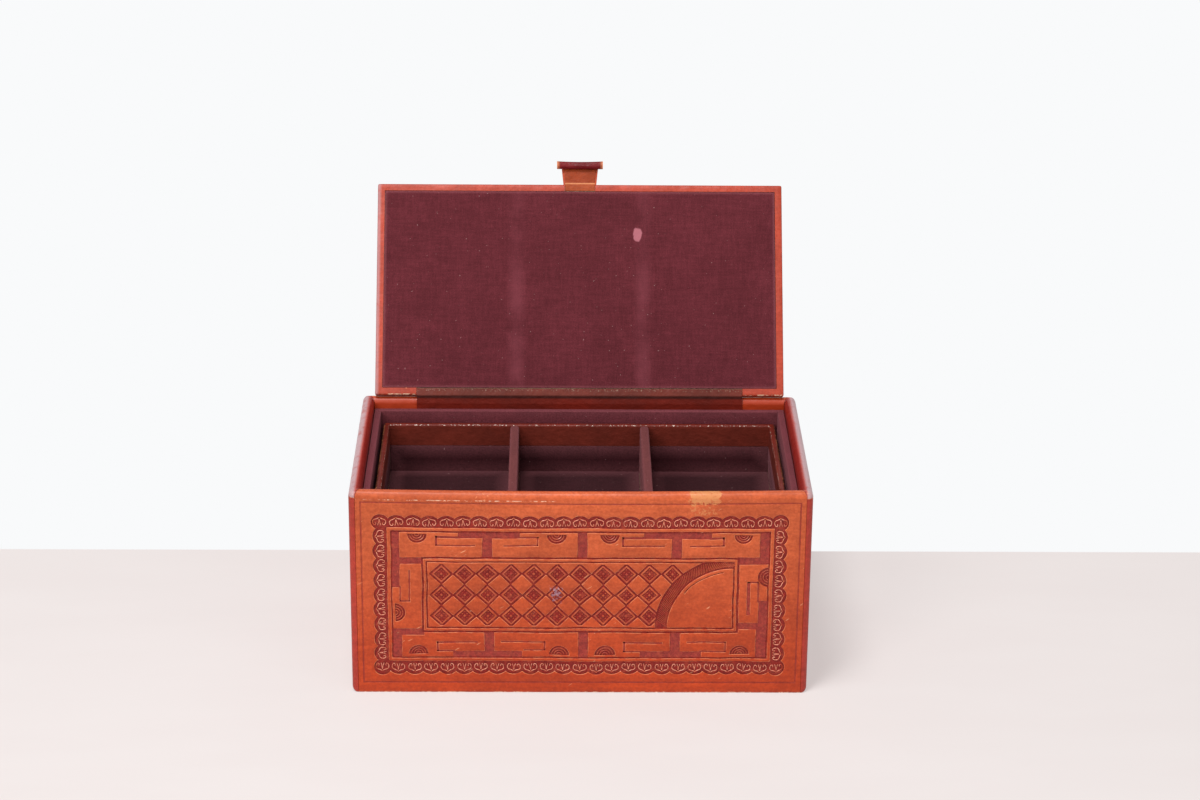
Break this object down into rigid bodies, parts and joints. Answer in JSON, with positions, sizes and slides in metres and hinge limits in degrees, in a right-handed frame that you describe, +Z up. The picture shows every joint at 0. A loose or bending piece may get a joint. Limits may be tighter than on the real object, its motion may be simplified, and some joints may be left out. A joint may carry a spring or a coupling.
{
  "type": "leather keepsake box",
  "caption": "Leather-covered keepsake box with a tooled front, leather-hinged drop-in lid, pull tab and a divided velvet lift-out tray.",
  "frame": {"origin": "centre of the underside, on the surface that the box stands on", "axes": "+X to the right along the front, -Y out of the front, +Z up; the lid opens towards +Y"},
  "size_m": [0.3, 0.2583, 0.2868],
  "materials": {
    "tooled_leather": "vegetable-tanned hide, tooled and stained orange-brown with dark purple-brown grounds, worn along its edges",
    "edge_leather": "the same hide, red-brown, plain, polished along the rim",
    "brown_leather": "dark brown glossy leather on the tray",
    "hinge_leather": "thin brown leather of the hinge and the tab's lining",
    "base_leather": "plain brown split leather underneath",
    "velvet": "burgundy velvet",
    "board": "plain thin board, hidden"
  },
  "bodies": {
    "box": {"base_board": "board", "front_board": "board", "back_board": "board", "left_board": "board", "right_board": "board", "front_leather": "tooled_leather", "back_leather": "tooled_leather", "left_leather": "edge_leather", "right_leather": "edge_leather", "base_leather": "base_leather", "liner_front": "velvet", "liner_back": "velvet", "liner_left": "velvet", "liner_right": "velvet", "floor_pad": "velvet", "tray_rest_left": "velvet", "tray_rest_right": "velvet", "hinge_strip": "hinge_leather"},
    "lid": {"lid_leather": "tooled_leather", "lid_board": "board", "lid_velvet": "velvet", "tab_root": "hinge_leather"},
    "tab": {"tab_leather": "tooled_leather", "tab_lining": "hinge_leather"},
    "tray": {"tray_base_board": "board", "tray_front_board": "board", "tray_back_board": "board", "tray_left_board": "board", "tray_right_board": "board", "tray_leather": "brown_leather", "tray_underside": "base_leather", "tray_lining_front": "velvet", "tray_lining_back": "velvet", "tray_lining_left": "velvet", "tray_lining_right": "velvet", "tray_divider_1": "velvet", "tray_divider_2": "velvet", "tray_pad_1": "velvet", "tray_pad_2": "velvet", "tray_pad_3": "velvet"}
  },
  "joints": [
    {"name": "lid_hinge", "type": "hinge", "parent": "box", "child": "lid", "pos_m": [0, 0.07891, 0.14216], "axis": [1, 0, 0], "range_deg": [0, 122.5], "deforming": ["hinge_strip"]},
    {"name": "tab_flex", "type": "hinge", "parent": "lid", "child": "tab", "pos_m": [0, 0.16463, 0.27022], "axis": [-1, 0, 0], "range_deg": [0, 75], "stiffness_Nm_per_rad": 0.05},
    {"name": "tray_lift", "type": "slide", "parent": "box", "child": "tray", "axis": [0, 0, 1], "range_m": [0, 0.0065]}
  ]
}
